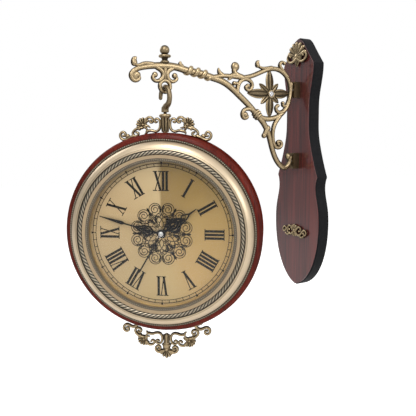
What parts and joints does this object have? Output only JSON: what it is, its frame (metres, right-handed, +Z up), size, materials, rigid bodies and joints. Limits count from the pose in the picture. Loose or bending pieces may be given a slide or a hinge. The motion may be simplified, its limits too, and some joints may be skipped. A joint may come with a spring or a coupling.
{
  "type": "double-sided wall clock",
  "caption": "Round wooden drum clock with a dial on each side, hung by a hook and swivel collar from a scrolled brass wall bracket on a shaped backboard.",
  "frame": {"origin": "on the wall plane, at the back of the backboard, midway between the two keyhole hangers", "axes": "+Z up, +X into the wall, arm reaching out along -X, Y = 0 the mid-plane of the bracket"},
  "size_m": [0.3667, 0.2028, 0.4597],
  "materials": {
    "board_black": "satin black paint",
    "board_veneer": "gloss lacquer",
    "steel": "zinc plated",
    "cast_brass": "antique, darkened in the recesses",
    "crystal": "cut and polished",
    "red_wood": "satin red-brown lacquer",
    "champagne_bezel": "satin champagne lacquer",
    "dark_rope": "dark antique",
    "dome_glass": "clear",
    "gold_dial": "satin gold print",
    "movement_shell": "moulded",
    "cell_jacket": "plain jacket",
    "circuit": "bare board",
    "wheel_plastic": "moulded",
    "hand_black": "black paint"
  },
  "bodies": {
    "wall_bracket": {"backboard": "board_black", "board_facing": "board_veneer", "keyhole_plates": "steel", "keyhole_screws": "steel", "shell_applique": "cast_brass", "scroll_applique": "cast_brass", "bracket_arm": "cast_brass", "bracket_feet": "cast_brass", "foot_screws": "steel", "flower_studs": "crystal", "finial": "cast_brass"},
    "hook": {"hook": "cast_brass", "swivel_nut": "steel"},
    "drum": {"swivel_collar": "cast_brass", "wood_rim": "red_wood", "top_crest": "cast_brass", "bottom_crest": "cast_brass", "crest_screws": "steel"},
    "front_face": {"front_bezel": "champagne_bezel", "front_rope_ring": "dark_rope", "front_glass": "dome_glass", "front_dial": "gold_dial", "front_bush_nut": "steel", "front_movement_case": "movement_shell", "front_movement_cover": "movement_shell", "front_battery": "cell_jacket", "front_circuit_board": "circuit", "front_stator": "steel"},
    "front_seconds": {"front_second_wheel": "wheel_plastic", "front_second_hand": "hand_black"},
    "front_minutes": {"front_minute_wheel": "wheel_plastic", "front_minute_hand": "hand_black"},
    "front_hours": {"front_hour_wheel": "wheel_plastic", "front_hour_hand": "hand_black"},
    "front_third": {"front_third_wheel": "wheel_plastic"},
    "front_motion": {"front_motion_wheel": "wheel_plastic", "front_set_knob": "movement_shell"},
    "front_relay": {"front_relay_wheel": "wheel_plastic"},
    "front_rotor": {"front_rotor": "steel"},
    "rear_face": {"rear_bezel": "champagne_bezel", "rear_rope_ring": "dark_rope", "rear_glass": "dome_glass", "rear_dial": "gold_dial", "rear_bush_nut": "steel", "rear_movement_case": "movement_shell", "rear_movement_cover": "movement_shell", "rear_battery": "cell_jacket", "rear_circuit_board": "circuit", "rear_stator": "steel"},
    "rear_seconds": {"rear_second_wheel": "wheel_plastic", "rear_second_hand": "hand_black"},
    "rear_minutes": {"rear_minute_wheel": "wheel_plastic", "rear_minute_hand": "hand_black"},
    "rear_hours": {"rear_hour_wheel": "wheel_plastic", "rear_hour_hand": "hand_black"},
    "rear_third": {"rear_third_wheel": "wheel_plastic"},
    "rear_motion": {"rear_motion_wheel": "wheel_plastic", "rear_set_knob": "movement_shell"},
    "rear_relay": {"rear_relay_wheel": "wheel_plastic"},
    "rear_rotor": {"rear_rotor": "steel"}
  },
  "joints": [
    {"name": "hook_swing", "type": "hinge", "parent": "wall_bracket", "child": "hook", "pos_m": [-0.2465, 0, 0.0797], "axis": [0, 1, 0], "range_deg": [-12, 12]},
    {"name": "clock_swivel", "type": "hinge", "parent": "hook", "child": "drum", "pos_m": [-0.2465, 0, -0.11525], "axis": [0, 0, 1], "continuous": true},
    {"name": "front_face_out", "type": "slide", "parent": "drum", "child": "front_face", "axis": [-0.5962, -0.8028, 0], "range_m": [0, 0.06]},
    {"name": "front_seconds_turn", "type": "hinge", "parent": "front_face", "child": "front_seconds", "pos_m": [-0.2465, 0, -0.11525], "axis": [0.5962, 0.8028, 0], "continuous": true},
    {"name": "front_minutes_turn", "type": "hinge", "parent": "front_face", "child": "front_minutes", "pos_m": [-0.2465, 0, -0.11525], "axis": [0.5962, 0.8028, 0], "continuous": true},
    {"name": "front_hours_turn", "type": "hinge", "parent": "front_face", "child": "front_hours", "pos_m": [-0.2465, 0, -0.11525], "axis": [0.5962, 0.8028, 0], "continuous": true},
    {"name": "front_third_turn", "type": "hinge", "parent": "front_face", "child": "front_third", "pos_m": [-0.25533, 0.00656, -0.11525], "axis": [0.5962, 0.8028, 0], "continuous": true},
    {"name": "front_motion_turn", "type": "hinge", "parent": "front_face", "child": "front_motion", "pos_m": [-0.23727, -0.00686, -0.11525], "axis": [0.5962, 0.8028, 0], "continuous": true},
    {"name": "front_relay_turn", "type": "hinge", "parent": "front_face", "child": "front_relay", "pos_m": [-0.2465, 0, -0.104], "axis": [0.5962, 0.8028, 0], "continuous": true},
    {"name": "front_rotor_turn", "type": "hinge", "parent": "front_face", "child": "front_rotor", "pos_m": [-0.24931, 0.00209, -0.09793], "axis": [0.5962, 0.8028, 0], "continuous": true},
    {"name": "rear_face_out", "type": "slide", "parent": "drum", "child": "rear_face", "axis": [0.5962, 0.8028, 0], "range_m": [0, 0.06]},
    {"name": "rear_seconds_turn", "type": "hinge", "parent": "rear_face", "child": "rear_seconds", "pos_m": [-0.2465, 0, -0.11525], "axis": [-0.5962, -0.8028, 0], "continuous": true},
    {"name": "rear_minutes_turn", "type": "hinge", "parent": "rear_face", "child": "rear_minutes", "pos_m": [-0.2465, 0, -0.11525], "axis": [-0.5962, -0.8028, 0], "continuous": true},
    {"name": "rear_hours_turn", "type": "hinge", "parent": "rear_face", "child": "rear_hours", "pos_m": [-0.2465, 0, -0.11525], "axis": [-0.5962, -0.8028, 0], "continuous": true},
    {"name": "rear_third_turn", "type": "hinge", "parent": "rear_face", "child": "rear_third", "pos_m": [-0.23767, -0.00656, -0.11525], "axis": [-0.5962, -0.8028, 0], "continuous": true},
    {"name": "rear_motion_turn", "type": "hinge", "parent": "rear_face", "child": "rear_motion", "pos_m": [-0.25573, 0.00686, -0.11525], "axis": [-0.5962, -0.8028, 0], "continuous": true},
    {"name": "rear_relay_turn", "type": "hinge", "parent": "rear_face", "child": "rear_relay", "pos_m": [-0.2465, 0, -0.104], "axis": [-0.5962, -0.8028, 0], "continuous": true},
    {"name": "rear_rotor_turn", "type": "hinge", "parent": "rear_face", "child": "rear_rotor", "pos_m": [-0.24369, -0.00209, -0.09793], "axis": [-0.5962, -0.8028, 0], "continuous": true}
  ],
  "couplings": [
    {"joint": "front_minutes_turn", "follows": "front_seconds_turn", "ratio": 0.016667},
    {"joint": "front_hours_turn", "follows": "front_seconds_turn", "ratio": 0.0013889},
    {"joint": "front_third_turn", "follows": "front_seconds_turn", "ratio": -0.13333},
    {"joint": "front_motion_turn", "follows": "front_seconds_turn", "ratio": -0.0055556},
    {"joint": "front_relay_turn", "follows": "front_seconds_turn", "ratio": -5},
    {"joint": "front_rotor_turn", "follows": "front_seconds_turn", "ratio": 30},
    {"joint": "rear_minutes_turn", "follows": "rear_seconds_turn", "ratio": 0.016667},
    {"joint": "rear_hours_turn", "follows": "rear_seconds_turn", "ratio": 0.0013889},
    {"joint": "rear_third_turn", "follows": "rear_seconds_turn", "ratio": -0.13333},
    {"joint": "rear_motion_turn", "follows": "rear_seconds_turn", "ratio": -0.0055556},
    {"joint": "rear_relay_turn", "follows": "rear_seconds_turn", "ratio": -5},
    {"joint": "rear_rotor_turn", "follows": "rear_seconds_turn", "ratio": 30}
  ]
}
